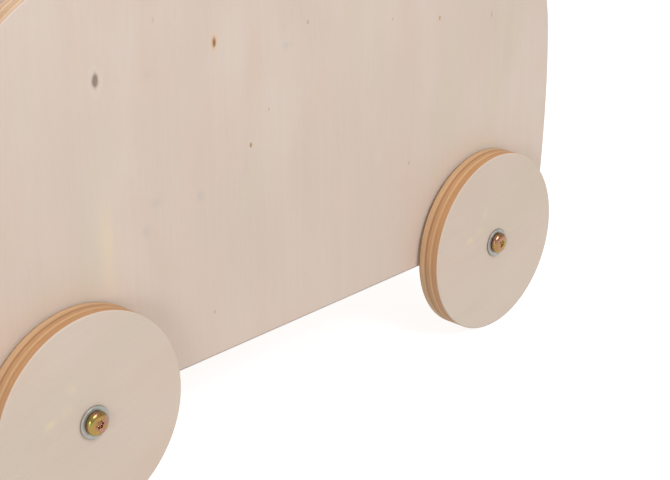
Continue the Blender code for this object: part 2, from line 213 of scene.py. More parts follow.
def mesh_of(shape: bmesh.types.BMesh) -> bpy.types.Mesh:
    """The mesh of an edited shape, which is used up."""
    mesh = bpy.data.meshes.new("raw")
    shape.to_mesh(mesh)
    shape.free()
    return mesh


def settle(mesh: bpy.types.Mesh) -> bpy.types.Mesh:
    """Closes a new mesh, turns its faces out and gives it even shading.

    Args:
        mesh: the raw mesh, which is used up.

    Returns:
        A mesh whose flat faces shade flat and whose rounded edges shade round.
    """
    shape = bmesh.new()
    shape.from_mesh(mesh)
    bmesh.ops.remove_doubles(shape, verts=shape.verts, dist=MERGE)
    bmesh.ops.dissolve_degenerate(shape, edges=shape.edges, dist=MERGE)
    bmesh.ops.recalc_face_normals(shape, faces=shape.faces)
    shape.to_mesh(mesh)
    shape.free()
    mesh.shade_smooth()
    mesh.set_sharp_from_angle(angle=SHARP)
    carrier = linked("carrier", mesh)
    weighted = carrier.modifiers.new("Normals", "WEIGHTED_NORMAL")
    weighted.keep_sharp = True
    return take_mesh(carrier)


def take_mesh(carrier: bpy.types.Object) -> bpy.types.Mesh:
    """The evaluated mesh of a helper object, which is then removed."""
    depsgraph = bpy.context.evaluated_depsgraph_get()
    mesh = bpy.data.meshes.new_from_object(carrier.evaluated_get(depsgraph), depsgraph=depsgraph)
    bpy.data.objects.remove(carrier, do_unlink=True)
    return mesh


def slab(loops: Sequence[Sequence[Point]], thickness: float, edge: float) -> bpy.types.Mesh:
    """A flat board of any outline, with rounded edges.

    Args:
        loops: the outline and then its holes, in the board's own plane.
        thickness: the board's thickness, centred on that plane.
        edge: radius of the rounding along every rim.

    Returns:
        The raw mesh, lying in XY with its thickness along Z.
    """
    curve = bpy.data.curves.new("outline", "CURVE")
    curve.dimensions = "2D"
    curve.fill_mode = "BOTH"
    curve.extrude = thickness / 2 - edge
    curve.bevel_depth = edge
    curve.bevel_resolution = 3
    curve.offset = -edge
    for loop in loops:
        spline = curve.splines.new("POLY")
        spline.points.add(len(loop) - 1)
        for point, (x, y) in zip(spline.points, loop):
            point.co = (x, y, 0.0, 1.0)
        spline.use_cyclic_u = True
    return take_mesh(linked("carrier", curve))


def upright(mesh: bpy.types.Mesh, place: Vector, lean: float = 0.0) -> bpy.types.Mesh:
    """Stands a slab up in the XZ plane and moves it into place.

    Args:
        mesh: a slab in XY; its X stays X and its Y becomes Z.
        place: where its own origin goes.
        lean: turn about Y, towards +X.

    Returns:
        The finished mesh.
    """
    stand = Matrix.Rotation(math.pi / 2, 4, "X")
    mesh.transform(Matrix.Translation(place) @ Matrix.Rotation(lean, 4, "Y") @ stand)
    return settle(mesh)


def plank(low: Vector, high: Vector, edge: float) -> bpy.types.Mesh:
    """A square-cut board or batten with rounded edges.

    Args:
        low: its lowest corner.
        high: its highest corner.
        edge: radius of the rounding.

    Returns:
        The finished mesh.
    """
    shape = bmesh.new()
    size = high - low
    bmesh.ops.create_cube(shape, size=1.0, matrix=Matrix.Translation((low + high) / 2)
                          @ Matrix.Diagonal((*size, 1.0)))
    bmesh.ops.bevel(shape, geom=shape.edges[:], offset=edge, segments=4, profile=0.5,
                    affect="EDGES", clamp_overlap=True)
    return settle(mesh_of(shape))


@dataclass(frozen=True)
class Turn:
    """One ring of a turned shape."""

    radius: float
    height: float
    lobes: float = 0.0     # how far the ring waves in and out, as a share of its radius


def lobed(turn: Turn, angle: float) -> float:
    """How far a ring with lobes reaches at one angle."""
    return turn.radius * (1 + turn.lobes * math.cos(LOBES * angle))


def bridge(shape: bmesh.types.BMesh, upper: Ring, lower: Ring) -> None:
    """Joins two rings of as many points by a band of faces."""
    for step, corner in enumerate(upper):
        after = (step + 1) % len(upper)
        shape.faces.new((corner, lower[step], lower[after], upper[after]))


def lay_rings(shape: bmesh.types.BMesh, profile: Sequence[Turn], segments: int,
              reach: Callable[[Turn, float], float]) -> list[Ring]:
    """Adds the rings of a turned shape and joins each to the next.

    Args:
        shape: the shape to add them to.
        profile: the rings from the top one down.
        segments: points round each ring.
        reach: how far a ring reaches at one angle.

    Returns:
        The rings' points.
    """
    angles = [math.tau * step / segments for step in range(segments)]
    rings = []
    for turn in profile:
        reaches = [reach(turn, angle) for angle in angles]
        rings.append([shape.verts.new((far * math.cos(angle), far * math.sin(angle), turn.height))
                      for far, angle in zip(reaches, angles)])
    for upper, lower in zip(rings, rings[1:]):
        bridge(shape, upper, lower)
    return rings


def turned(profile: Sequence[Turn], segments: int) -> bpy.types.Mesh:
    """A solid turned about Z.

    Args:
        profile: the rings from the top one down; the first and last are closed by a cap.
        segments: points round each ring.

    Returns:
        The raw closed mesh.
    """
    shape = bmesh.new()
    rings = lay_rings(shape, profile, segments, lobed)
    for rim in (rings[0], rings[-1]):
        tip = shape.verts.new((0, 0, rim[0].co.z))
        for step, corner in enumerate(rim):
            shape.faces.new((tip, corner, rim[(step + 1) % segments]))
    return mesh_of(shape)


def rounding(radius: float, top: float, round_by: float, steps: int = 6) -> list[Turn]:
    """A rounded upper rim: the rings from the flat top down to the straight side."""
    angles = [math.pi / 2 * step / steps for step in range(steps + 1)]
    return [Turn(radius - round_by * (1 - math.sin(a)), top - round_by * (1 - math.cos(a)))
            for a in angles]


# ---------------------------------------------------------------- geometry node trees

class Sheet:
    """A node tree that is drawn up node by node."""

    tree: bpy.types.NodeTree

    def feed(self, socket: Socket, value: Feed) -> None:
        """Links an output to a socket, or sets its value."""
        if isinstance(value, bpy.types.NodeSocket):
            self.tree.links.new(value, socket)
        else:
            socket.default_value = value

    def node(self, kind: str, feeds: Mapping[str | int, Feed], **settings: object) -> bpy.types.Node:
        """Adds a node.

        Args:
            kind: the node's type.
            feeds: a value or an output for each input, by name or index.
            settings: the node's own options.

        Returns:
            The new node.
        """
        node = self.tree.nodes.new(kind)
        for key, value in settings.items():
            setattr(node, key, value)
        for key, value in feeds.items():
            self.feed(node.inputs[key], value)
        return node

    def math(self, operation: str, *values: Feed) -> Socket:
        """The result of one arithmetic step."""
        return self.node("ShaderNodeMath", dict(enumerate(values)), operation=operation).outputs[0]


class Tree(Sheet):
    """A Geometry Nodes tree that sets copies on marks, is run once and turned into a mesh.

    Each point of the base mesh is a mark, whose vector attribute "axis" points along the copy's Z.
    """

    def __init__(self, name: str, inputs: Mapping[str, str]) -> None:
        """Makes an empty tree.

        Args:
            name: the tree's name.
            inputs: the socket type of each input but the marks and the finish.
        """
        self.tree = bpy.data.node_groups.new(name, "GeometryNodeTree")
        self.keys: dict[str, str] = {}
        kinds = {"Marks": "NodeSocketGeometry", **inputs, "Finish": "NodeSocketMaterial"}
        for label, kind in kinds.items():
            socket = self.tree.interface.new_socket(label, in_out="INPUT", socket_type=kind)
            self.keys[label] = socket.identifier
        self.tree.interface.new_socket("Geometry", in_out="OUTPUT", socket_type="NodeSocketGeometry")
        self.entry = self.tree.nodes.new("NodeGroupInput").outputs

    def facing(self) -> Socket:
        """The rotation that points Z along each mark's axis."""
        axis = self.node("GeometryNodeInputNamedAttribute", {"Name": "axis"}, data_type="FLOAT_VECTOR")
        turn = self.node("FunctionNodeAlignRotationToVector", {"Vector": axis.outputs[0]}, axis="Z")
        return turn.outputs[0]

    def close(self, copy: Socket, rotation: Socket) -> None:
        """Sets the copies on the marks and ends the tree in plain geometry with its material."""
        placed = self.node("GeometryNodeInstanceOnPoints", {"Points": self.entry["Marks"], "Instance": copy,
                                                            "Rotation": rotation})
        real = self.node("GeometryNodeRealizeInstances", {"Geometry": placed.outputs[0]})
        dressed = self.node("GeometryNodeSetMaterial", {"Geometry": real.outputs[0],
                                                        "Material": self.entry["Finish"]})
        self.node("NodeGroupOutput", {"Geometry": dressed.outputs[0]})

    def run(self, marks: Sequence[Mark], values: Mapping[str, object]) -> bpy.types.Mesh:
        """Runs the tree on a helper object.

        Args:
            marks: where the copies go.
            values: the value of each named input.

        Returns:
            The raw result as a plain mesh.
        """
        base = bpy.data.meshes.new("marks")
        base.from_pydata([mark.place for mark in marks], [], [])
        axis = base.attributes.new("axis", "FLOAT_VECTOR", "POINT")
        for item, mark in zip(axis.data, marks):
            item.vector = mark.axis
        carrier = linked("carrier", base)
        modifier = carrier.modifiers.new("Tree", "NODES")
        modifier.node_group = self.tree
        for label, value in values.items():
            modifier[self.keys[label]] = value
        return take_mesh(carrier)


class RingTree(Tree):
    """Rings with rounded edges, such as wheels and washers."""

    def __init__(self) -> None:
        """Builds the tree: a filleted oblong swept round a circle."""
        super().__init__("rings_on_marks", {
            "Bore": "NodeSocketFloat", "Radius": "NodeSocketFloat", "Width": "NodeSocketFloat",
            "Edge": "NodeSocketFloat", "Steps": "NodeSocketInt"})
        entry = self.entry
        wall = self.math("SUBTRACT", entry["Radius"], entry["Bore"])
        middle = self.math("MULTIPLY", self.math("ADD", entry["Radius"], entry["Bore"]), 0.5)
        oblong = self.node("GeometryNodeCurvePrimitiveQuadrilateral",
                           {"Width": wall, "Height": entry["Width"]}, mode="RECTANGLE")
        section = self.node("GeometryNodeFilletCurve", {"Curve": oblong.outputs[0], "Count": 4,
                                                        "Radius": entry["Edge"]}, mode="POLY")
        path = self.node("GeometryNodeCurvePrimitiveCircle",
                         {"Resolution": entry["Steps"], "Radius": middle}, mode="RADIUS")
        sweep = self.node("GeometryNodeCurveToMesh", {"Curve": path.outputs[0],
                                                      "Profile Curve": section.outputs[0]})
        self.close(sweep.outputs[0], self.facing())


class FastenerTree(Tree):
    """Copies of one fastener, each turned about its length by its own seeded angle."""

    def __init__(self) -> None:
        """Builds the tree."""
        super().__init__("fasteners_on_marks", {"Fastener": "NodeSocketObject", "Seed": "NodeSocketInt"})
        source = self.node("GeometryNodeObjectInfo", {"Object": self.entry["Fastener"], "As Instance": True})
        spin = self.node("FunctionNodeRandomValue", {2: 0.0, 3: math.tau, "Seed": self.entry["Seed"]},
                         data_type="FLOAT")
        about = self.node("FunctionNodeAxisAngleToRotation",
                          {"Axis": (0.0, 0.0, 1.0), "Angle": spin.outputs[1]})
        both = self.node("FunctionNodeRotateRotation",
                         {"Rotation": self.facing(), "Rotate By": about.outputs[0]}, rotation_space="LOCAL")
        self.close(source.outputs["Geometry"], both.outputs[0])


@dataclass(frozen=True)
class Mark:
    """A place for a ring or a fastener, and the direction it faces."""

    place: Vector
    axis: Vector


# ---------------------------------------------------------------- material graphs

class Graph(Sheet):
    """The node graph of one material, on Object coordinates."""

    def __init__(self, name: str) -> None:
        """Starts a material with one Principled shader."""
        self.material = bpy.data.materials.new(name)
        self.material.use_nodes = True
        self.tree = self.material.node_tree
        self.shader = self.tree.nodes["Principled BSDF"]
        self.place = self.tree.nodes.new("ShaderNodeTexCoord").outputs["Object"]

    def vector(self, operation: str, *values: Feed) -> Socket:
        """The result of one vector step."""
        return self.node("ShaderNodeVectorMath", dict(enumerate(values)), operation=operation).outputs[0]

    def noise(self, vector: Socket, scale: float | Sequence[float], detail: float, seed: float) -> Socket:
        """Noise, which may be stretched.

        Args:
            vector: the coordinates.
            scale: waves to the metre, for all axes or along each.
            detail: octaves.
            seed: moves the pattern.

        Returns:
            The noise, about 0.5 on average.
        """
        scales = scale if isinstance(scale, Sequence) else (scale, scale, scale)
        moved = self.vector("MULTIPLY_ADD", vector, scales, (seed, seed * 1.7, -seed))
        return self.node("ShaderNodeTexNoise", {"Vector": moved, "Scale": 1.0, "Detail": detail}).outputs[0]

    def remap(self, value: Socket, low: float, high: float, start: float = 0.0,
              end: float = 1.0) -> Socket:
        """Carries low..high smoothly to start..end, and holds it beyond."""
        node = self.node("ShaderNodeMapRange", {0: value, 1: low, 2: high, 3: start, 4: end},
                         interpolation_type="SMOOTHSTEP")
        return node.outputs[0]

    def ramp(self, value: Socket, stops: Sequence[tuple[float, Colour]]) -> bpy.types.Node:
        """A colour ramp; each colour's fourth number comes out as Alpha."""
        node = self.node("ShaderNodeValToRGB", {0: value})
        ramp = node.color_ramp
        while len(ramp.elements) < len(stops):
            ramp.elements.new(0.5)
        for element, (position, _) in zip(ramp.elements, stops):
            element.position = position
        for element, (_, colour) in zip(ramp.elements, stops):
            element.color = colour
        return node

    def blend(self, factor: Feed, under: Feed, over: Feed) -> Socket:
        """One colour laid over another."""
        return self.node("ShaderNodeMix", {0: factor, 6: under, 7: over}, data_type="RGBA").outputs[2]

    def vary(self, waves: Iterable[tuple[Socket, float]]) -> Socket:
        """A multiplier about 1 from several noises.

        Args:
            waves: each noise and how strongly it shows.

        Returns:
            1 plus every noise's swing about its middle.
        """
        waves = list(waves)
        total: Feed = 1.0 - sum(strength for _, strength in waves) / 2
        for wave, strength in waves:
            total = self.math("MULTIPLY_ADD", wave, strength, total)
        return total

    def shade(self, colour: Feed, multiplier: Socket) -> Socket:
        """A colour made lighter or darker."""
        node = self.node("ShaderNodeVectorMath", {0: colour, "Scale": multiplier}, operation="SCALE")
        return node.outputs[0]

    def bump(self, height: Socket, depth: float, strength: float) -> None:
        """Puts a relief of the given depth, in metres, on the shader."""
        node = self.node("ShaderNodeBump", {"Height": height, "Distance": depth, "Strength": strength})
        self.tree.links.new(node.outputs[0], self.shader.inputs["Normal"])

    def finish(self, **feeds: Feed) -> bpy.types.Material:
        """Feeds the shader's inputs, with _ in a name for a space, and returns the material."""
        for key, value in feeds.items():
            self.feed(self.shader.inputs[key.replace("_", " ")], value)
        return self.material


def stretched(axis: Axis, along: float, across: float) -> list[float]:
    """Noise scales that differ along one axis."""
    scales = [across] * 3
    scales[axis.value] = along
    return scales


@dataclass(frozen=True)
class Lay:
    """How a board lies: the axes of its grain and thickness, and where it is."""

    across: Axis
    along: Axis
    depth: Axis
    middle: Vector         # where the face pattern is centred
    inner: float           # distance from middle to the inner face, or 0 for a lone board
    thickness: float
    turn: float = 0.0      # turn of the grain within the face


@dataclass(frozen=True)
class Ply:
    """One layer of plywood as its edge shows it."""

    share: float           # share of the board's thickness
    colour: Colour
    level: float = 1.0     # how far it stands out, from 0, sunk, to 1


@dataclass(frozen=True)
class Spot:
    """A natural mark in a face veneer: an oval that fades towards its rim."""

    across: float
    along: float
    wide: float
    high: float
    colour: Colour
    strength: float = 1.0
    fade: float = 0.6      # share of the oval over which it fades


@dataclass(frozen=True)
class FaceTones:
    """The colours that run through one face veneer."""

    base: Colour = srgb(216, 197, 182)
    warm: Colour = srgb(218, 196, 180)
    green: Colour = srgb(213, 198, 179)
    pale: Colour = srgb(219, 202, 188)
    pore: Colour = srgb(196, 172, 150)


TAN = srgb(206, 164, 124)
LIGHT_TAN = srgb(218, 180, 142)
GLUE = Ply(0.014, srgb(158, 116, 80), 0.2)
PANEL_PLIES = (
    Ply(0.045, srgb(212, 190, 170)), GLUE, Ply(0.210, TAN, 0.9), GLUE, Ply(0.196, LIGHT_TAN), GLUE,
    Ply(0.210, TAN, 0.9), GLUE, Ply(0.224, LIGHT_TAN), GLUE, Ply(0.045, srgb(212, 190, 170)))
# Plies of a wheel, from its inner face out. The thin first band and the dark 150/112/80 band after it are
# painted shade: they stand for the shadow in the narrow gap between the wheel and the side panel, not for the
# wood's own colour.
WHEEL_PLIES_WITH_GAP_SHADE = (
    Ply(0.012, srgb(170, 134, 100), 0.6), Ply(0.045, srgb(150, 112, 80), 0.3),
    Ply(0.253, srgb(209, 170, 130)), Ply(0.095, srgb(180, 134, 94), 0.1),
    Ply(0.165, srgb(198, 153, 111), 0.9), Ply(0.070, srgb(215, 175, 132)),
    Ply(0.060, srgb(203, 158, 114), 0.9), Ply(0.050, srgb(190, 142, 100), 0.4),
    Ply(0.180, srgb(201, 152, 108)), Ply(0.025, srgb(196, 150, 110), 0.6),
    Ply(0.045, srgb(216, 190, 166)))
PLY_SOFTNESS = 0.006       # half-width of the change from one ply to the next, in the same shares


@dataclass(frozen=True)
class PlyFinish:
    """Bare veneered plywood with a thin matt seal."""

    name: str
    lay: Lay
    plies: tuple[Ply, ...]
    spots: tuple[Spot, ...] = ()
    tones: FaceTones = FaceTones()
    seed: float = 0.0
    grain_depth: float = 0.00022

    def make(self) -> bpy.types.Material:
        """Builds the material."""
        graph = Graph(self.name)
        board, depth = self.coordinates(graph)
        face, face_relief = self.face(graph, board)
        face = self.with_spots(graph, board, depth, face)
        edge, edge_relief = self.edge(graph, depth)
        inner = graph.remap(depth, self.plies[0].share * 0.8, self.plies[0].share * 1.2, 1.0, 0.0)
        outer = graph.remap(depth, 1 - self.plies[-1].share * 1.2, 1 - self.plies[-1].share * 0.8)
        on_face = graph.math("MAXIMUM", inner, outer)
        colour = graph.blend(on_face, edge, face)
        relief = graph.node("ShaderNodeMix", {0: on_face, 2: edge_relief, 3: face_relief}).outputs[0]
        wear = graph.noise(board, 24, 3, self.seed + 31)
        graph.bump(relief, self.grain_depth, 0.6)
        return graph.finish(Base_Color=colour, Roughness=graph.remap(wear, 0.3, 0.7, 0.54, 0.70),
                            Specular_IOR_Level=0.35)

    def coordinates(self, graph: Graph) -> tuple[Socket, Socket]:
        """The board's own coordinates.

        Args:
            graph: the material's graph.

        Returns:
            (across, along, depth) in metres, and the depth from 0 to 1 through the thickness.
        """
        lay = self.lay
        split = graph.node("ShaderNodeSeparateXYZ", {0: graph.vector("SUBTRACT", graph.place, lay.middle)})
        across, along, through = (split.outputs[axis.value] for axis in (lay.across, lay.along, lay.depth))
        out = graph.math("ABSOLUTE", through) if lay.inner else through
        depth = graph.math("DIVIDE", graph.math("SUBTRACT", out, lay.inner), lay.thickness)
        joined = graph.node("ShaderNodeCombineXYZ", {0: across, 1: along, 2: through}).outputs[0]
        turned_board = graph.node("ShaderNodeVectorRotate", {"Vector": joined, "Angle": lay.turn},
                                  rotation_type="Z_AXIS")
        return turned_board.outputs[0], depth

    def face(self, graph: Graph, board: Socket) -> tuple[Socket, Socket]:
        """The face veneer: broad clouds of tint, fine upright streaks, fibres and pores.

        Args:
            graph: the material's graph.
            board: the board's coordinates.

        Returns:
            The colour and the relief.
        """
        tones, seed = self.tones, self.seed
        clouds = graph.noise(board, (9, 4.5, 31), 3, seed + 1)
        tint = graph.noise(board, (15, 6, 47), 2, seed + 7)
        figure = graph.noise(board, (46, 2.2, 53), 3, seed + 3)
        streaks = graph.noise(board, (260, 7, 80), 3, seed + 4)
        fibres = graph.noise(board, (1500, 40, 300), 2, seed + 5)
        pores = graph.remap(graph.noise(board, (1900, 95, 900), 1, seed + 6), 0.63, 0.75)
        patchy = graph.noise(board, (30, 12, 60), 1, seed + 8)
        pores = graph.math("MULTIPLY", pores, graph.remap(patchy, 0.35, 0.7))

        colour = graph.blend(graph.remap(clouds, 0.42, 0.66), tones.base, tones.pale)
        colour = graph.blend(graph.remap(tint, 0.52, 0.70), colour, tones.green)
        colour = graph.blend(graph.remap(tint, 0.48, 0.32), colour, tones.warm)
        colour = graph.blend(graph.math("MULTIPLY", pores, 0.22), colour, tones.pore)
        light = graph.vary([(figure, 0.045), (streaks, 0.040), (fibres, 0.045), (clouds, 0.03)])
        relief = graph.math("MULTIPLY_ADD", pores, -0.3, fibres)
        return graph.shade(colour, light), relief

    def with_spots(self, graph: Graph, board: Socket, depth: Socket, face: Socket) -> Socket:
        """The outer face's knots, specks and smudges, laid over the veneer."""
        if not self.spots:
            return face
        wobble = graph.noise(board, (420, 260, 0), 2, self.seed + 11)
        marked = face
        for spot in self.spots:
            offset = graph.vector("SUBTRACT", board, (spot.across, spot.along, 0.0))
            shape = graph.vector("MULTIPLY", offset, (1 / spot.wide, 1 / spot.high, 0.0))
            reach = graph.node("ShaderNodeVectorMath", {0: shape}, operation="LENGTH").outputs["Value"]
            reach = graph.math("MULTIPLY_ADD", wobble, 0.5, reach)
            cover = graph.remap(reach, 1.25, 1.25 - spot.fade, 0.0, spot.strength)
            marked = graph.blend(cover, marked, spot.colour)
        return graph.blend(graph.remap(depth, 0.90, 0.94), face, marked)

    def edge(self, graph: Graph, depth: Socket) -> tuple[Socket, Socket]:
        """The layers that show on the board's edge, with dark glue lines between them.

        Args:
            graph: the material's graph.
            depth: 0 to 1 through the thickness.

        Returns:
            The colour and the relief.
        """
        stops: list[tuple[float, Colour]] = []
        reach = 0.0
        for ply in self.plies:
            colour = (*ply.colour[:3], ply.level)
            stops += [(reach + PLY_SOFTNESS, colour), (reach + ply.share - PLY_SOFTNESS, colour)]
            reach += ply.share
        wander = graph.noise(graph.place, 35, 2, self.seed + 21)
        settled = graph.math("MULTIPLY_ADD", wander, 0.03, graph.math("SUBTRACT", depth, 0.015))
        layers = graph.ramp(settled, stops)
        bands = graph.noise(graph.place, stretched(self.lay.depth, 720.0, 26.0), 2, self.seed + 25)
        lines = graph.noise(graph.place, stretched(self.lay.depth, 2600.0, 90.0), 3, self.seed + 22)
        grain = graph.noise(graph.place, 1300, 2, self.seed + 23)
        saw = graph.noise(graph.place, (240, 240, 60), 2, self.seed + 24)
        light = graph.vary([(bands, 0.34), (lines, 0.22), (grain, 0.08), (saw, 0.06)])
        relief = graph.math("MULTIPLY_ADD", lines, 0.8, layers.outputs["Alpha"])
        return graph.shade(layers.outputs["Color"], light), relief


@dataclass(frozen=True)
class SolidWood:
    """Planed solid wood, with growth rings, fibres and flecks along its grain."""

    name: str
    early: Colour
    late: Colour
    fleck: Colour
    grain: Axis
    rings: float           # growth rings to the metre
    flecks: float          # how strongly the flecks show
    roughness: tuple[float, float]
    seed: float = 0.0
    grain_depth: float = 0.00018

    def make(self) -> bpy.types.Material:
        """Builds the material."""
        graph = Graph(self.name)
        noises = []
        scales = ((self.rings / 22, self.rings, 2), (2.0, 7.0, 2), (30.0, 1300.0, 3), (120.0, 900.0, 1))
        for index, (along, across, detail) in enumerate(scales, 1):
            scale = stretched(self.grain, along, across)
            noises.append(graph.noise(graph.place, scale, detail, self.seed + index))
        rings, drift, fibres, flecks = noises
        bands = graph.math("SINE", graph.math("MULTIPLY", rings, 38.0))
        flecks = graph.remap(flecks, 0.60, 0.70)
        colour = graph.blend(graph.remap(bands, -0.2, 1.0, 0.0, 0.75), self.early, self.late)
        colour = graph.blend(graph.math("MULTIPLY", flecks, self.flecks), colour, self.fleck)
        light = graph.vary([(drift, 0.10), (fibres, 0.10)])
        graph.bump(graph.math("MULTIPLY_ADD", flecks, -0.6, fibres), self.grain_depth, 0.6)
        return graph.finish(Base_Color=graph.shade(colour, light),
                            Roughness=graph.remap(drift, 0.3, 0.7, *self.roughness),
                            Specular_IOR_Level=0.4)


@dataclass(frozen=True)
class Plating:
    """Zinc plating whose tint drifts over the metal."""

    name: str
    tints: tuple[tuple[float, Colour], ...]
    drift: float           # tint clouds to the metre
    roughness: tuple[float, float]

    def make(self) -> bpy.types.Material:
        """Builds the material."""
        graph = Graph(self.name)
        clouds = graph.noise(graph.place, self.drift, 2, 4.0)
        spangle = graph.noise(graph.place, 2600, 2, 9.0)
        rub = graph.noise(graph.place, 700, 3, 2.0)
        tint = graph.ramp(graph.remap(clouds, 0.30, 0.70), self.tints).outputs["Color"]
        light = graph.vary([(spangle, 0.18), (rub, 0.14)])
        graph.bump(graph.math("MULTIPLY_ADD", rub, 0.6, spangle), 0.00005, 0.5)
        return graph.finish(Base_Color=graph.shade(tint, light), Metallic=1.0,
                            Roughness=graph.remap(rub, 0.3, 0.7, *self.roughness))


@dataclass(frozen=True)
class Moulding:
    """A moulded plastic or rubber with a faint grained skin."""

    name: str
    colour: Colour
    roughness: tuple[float, float]
    skin: float            # depth of the grain in metres

    def make(self) -> bpy.types.Material:
        """Builds the material."""
        graph = Graph(self.name)
        skin = graph.noise(graph.place, 1500, 3, 1.0)
        dust = graph.noise(graph.place, 60, 3, 5.0)
        light = graph.vary([(dust, 0.30), (skin, 0.12)])
        graph.bump(skin, self.skin, 0.7)
        return graph.finish(Base_Color=graph.shade(self.colour[:3], light),
                            Roughness=graph.remap(dust, 0.3, 0.7, *self.roughness))


class Finishes:
    """Every finish that more than one sub-assembly uses."""

    def __init__(self) -> None:
        """Builds the materials."""
        self.yellow_zinc = Plating(
            "yellow_zinc_plate",
            ((0.0, srgb(156, 142, 80)), (0.3, srgb(172, 136, 80)), (0.55, srgb(160, 122, 84)),
             (0.8, srgb(176, 128, 112)), (1.0, srgb(138, 108, 104))), 130.0, (0.20, 0.34)).make()
        self.bright_zinc = Plating(
            "bright_zinc_plate",
            ((0.0, srgb(166, 164, 162)), (0.5, srgb(176, 173, 169)), (1.0, srgb(162, 168, 161))),
            160.0, (0.42, 0.58)).make()
        self.nylon = Moulding("natural_nylon", srgb(228, 224, 212), (0.42, 0.55), 0.00003).make()
        self.rubber = Moulding("black_rubber", srgb(46, 45, 44), (0.62, 0.80), 0.00012).make()

    @staticmethod
    def softwood(grain: Axis, seed: float) -> bpy.types.Material:
        """Planed softwood battens with the grain along one axis."""
        return SolidWood(f"softwood_{grain.name.lower()}", srgb(232, 205, 166), srgb(206, 164, 116),
                         srgb(176, 130, 86), grain, 34.0, 0.25, (0.55, 0.70), seed).make()

    @staticmethod
    def beech(grain: Axis, seed: float) -> bpy.types.Material:
        """Oiled beech with the grain along one axis."""
        return SolidWood(f"beech_{grain.name.lower()}", srgb(221, 186, 150), srgb(206, 168, 130),
                         srgb(160, 112, 74), grain, 30.0, 0.60, (0.38, 0.52), seed).make()


def add_piece(name: str, mesh: bpy.types.Mesh, finish: bpy.types.Material,
              replaced: Iterable[str], body: str = Body.WAGON.value) -> None:
    """Puts a finished piece in the scene.

    Args:
        name: the piece's name.
        mesh: its mesh, already in place.
        finish: its material.
        replaced: the CAD nodes that it stands for.
        body: the CAD body it rides on.
    """
    mesh.name = name
    mesh.materials.clear()
    mesh.materials.append(finish)
    piece = linked(name, mesh)
    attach(piece, body)
    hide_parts(*replaced)
    LOG.info("%s: %d faces, rides on %s", name, len(mesh.polygons), body)


def dress_node(node: str, finish: bpy.types.Material) -> None:
    """Gives a CAD node that stays a finish of its own."""
    for slot in frame["nodes"][node].material_slots:
        slot.material = finish
    LOG.info("%s: CAD node kept", node)


# ---------------------------------------------------------------- box of the wagon

KNOT_HALO = srgb(224, 209, 194)
LEFT_SPOTS = (
    Spot(-0.1619, 0.1691, 0.0110, 0.0520, srgb(226, 207, 178), 0.75, 1.2),
    Spot(-0.1642, 0.2719, 0.0075, 0.0130, KNOT_HALO, 0.7, 0.9),
    Spot(-0.1642, 0.2719, 0.0040, 0.0074, srgb(190, 166, 148), 0.9, 0.7),
    Spot(-0.1642, 0.2719, 0.0027, 0.0054, srgb(146, 128, 120), 1.0, 0.6),
    Spot(-0.0713, 0.2768, 0.0064, 0.0110, srgb(224, 195, 166), 0.8, 1.0),
    Spot(-0.0699, 0.2645, 0.0020, 0.0110, srgb(221, 199, 172), 0.5, 1.0),
    Spot(-0.0713, 0.2768, 0.0025, 0.0050, srgb(190, 140, 98), 0.9, 0.7),
    Spot(-0.0711, 0.2764, 0.0014, 0.0036, srgb(140, 98, 70), 0.85, 0.6),
    Spot(0.0113, 0.2740, 0.0013, 0.0020, srgb(176, 156, 138), 0.7),
    Spot(-0.0420, 0.2029, 0.0042, 0.0052, srgb(220, 199, 176), 0.6, 0.9),
    Spot(-0.0420, 0.2029, 0.0015, 0.0024, srgb(168, 128, 88), 0.85),
    Spot(-0.0253, 0.2233, 0.0010, 0.0016, srgb(184, 160, 136), 0.6),
    Spot(0.0952, 0.2606, 0.0010, 0.0016, srgb(186, 160, 130), 0.6),
    Spot(0.1461, 0.2519, 0.0014, 0.0024, srgb(190, 138, 88), 0.85),
    Spot(0.1151, 0.1503, 0.0012, 0.0018, srgb(184, 158, 134), 0.65),
    Spot(-0.0777, 0.0964, 0.0012, 0.0016, srgb(180, 156, 134), 0.6),
    Spot(-0.1190, 0.2994, 0.0014, 0.0022, srgb(194, 172, 154), 0.5),
    Spot(0.2066, 0.2439, 0.0009, 0.0052, srgb(172, 150, 130), 0.7, 0.8),
    Spot(0.2110, 0.2386, 0.0050, 0.0160, srgb(208, 192, 170), 0.4, 1.1),
    Spot(0.0475, 0.2714, 0.0016, 0.0100, srgb(218, 198, 164), 0.7, 0.9),
    Spot(-0.0864, 0.1799, 0.0055, 0.0060, srgb(196, 186, 178), 0.55, 1.1),
    Spot(-0.1232, 0.1854, 0.0075, 0.0050, srgb(198, 188, 180), 0.55, 1.1),
    Spot(-0.1314, 0.1687, 0.0060, 0.0075, srgb(198, 188, 178), 0.50, 1.1),
    Spot(-0.1246, 0.2672, 0.0090, 0.0060, srgb(200, 190, 180), 0.35, 1.2),
    Spot(-0.0083, 0.2625, 0.0070, 0.0034, srgb(198, 190, 182), 0.50, 1.1),
    Spot(0.0817, 0.1639, 0.0080, 0.0090, srgb(220, 202, 184), 0.45, 1.1))
RIGHT_SPOTS = (
    Spot(0.0920, 0.2310, 0.0068, 0.0110, KNOT_HALO, 0.7, 0.9),
    Spot(0.0920, 0.2310, 0.0024, 0.0046, srgb(158, 128, 106), 0.95, 0.7),
    Spot(-0.1290, 0.2640, 0.0022, 0.0034, srgb(170, 134, 104), 0.8),
    Spot(-0.0410, 0.1450, 0.0012, 0.0018, srgb(176, 150, 128), 0.8),
    Spot(0.1710, 0.1730, 0.0009, 0.0052, srgb(178, 150, 126), 0.7, 0.8),
    Spot(0.0150, 0.2960, 0.0060, 0.0046, srgb(206, 194, 182), 0.5, 1.0))


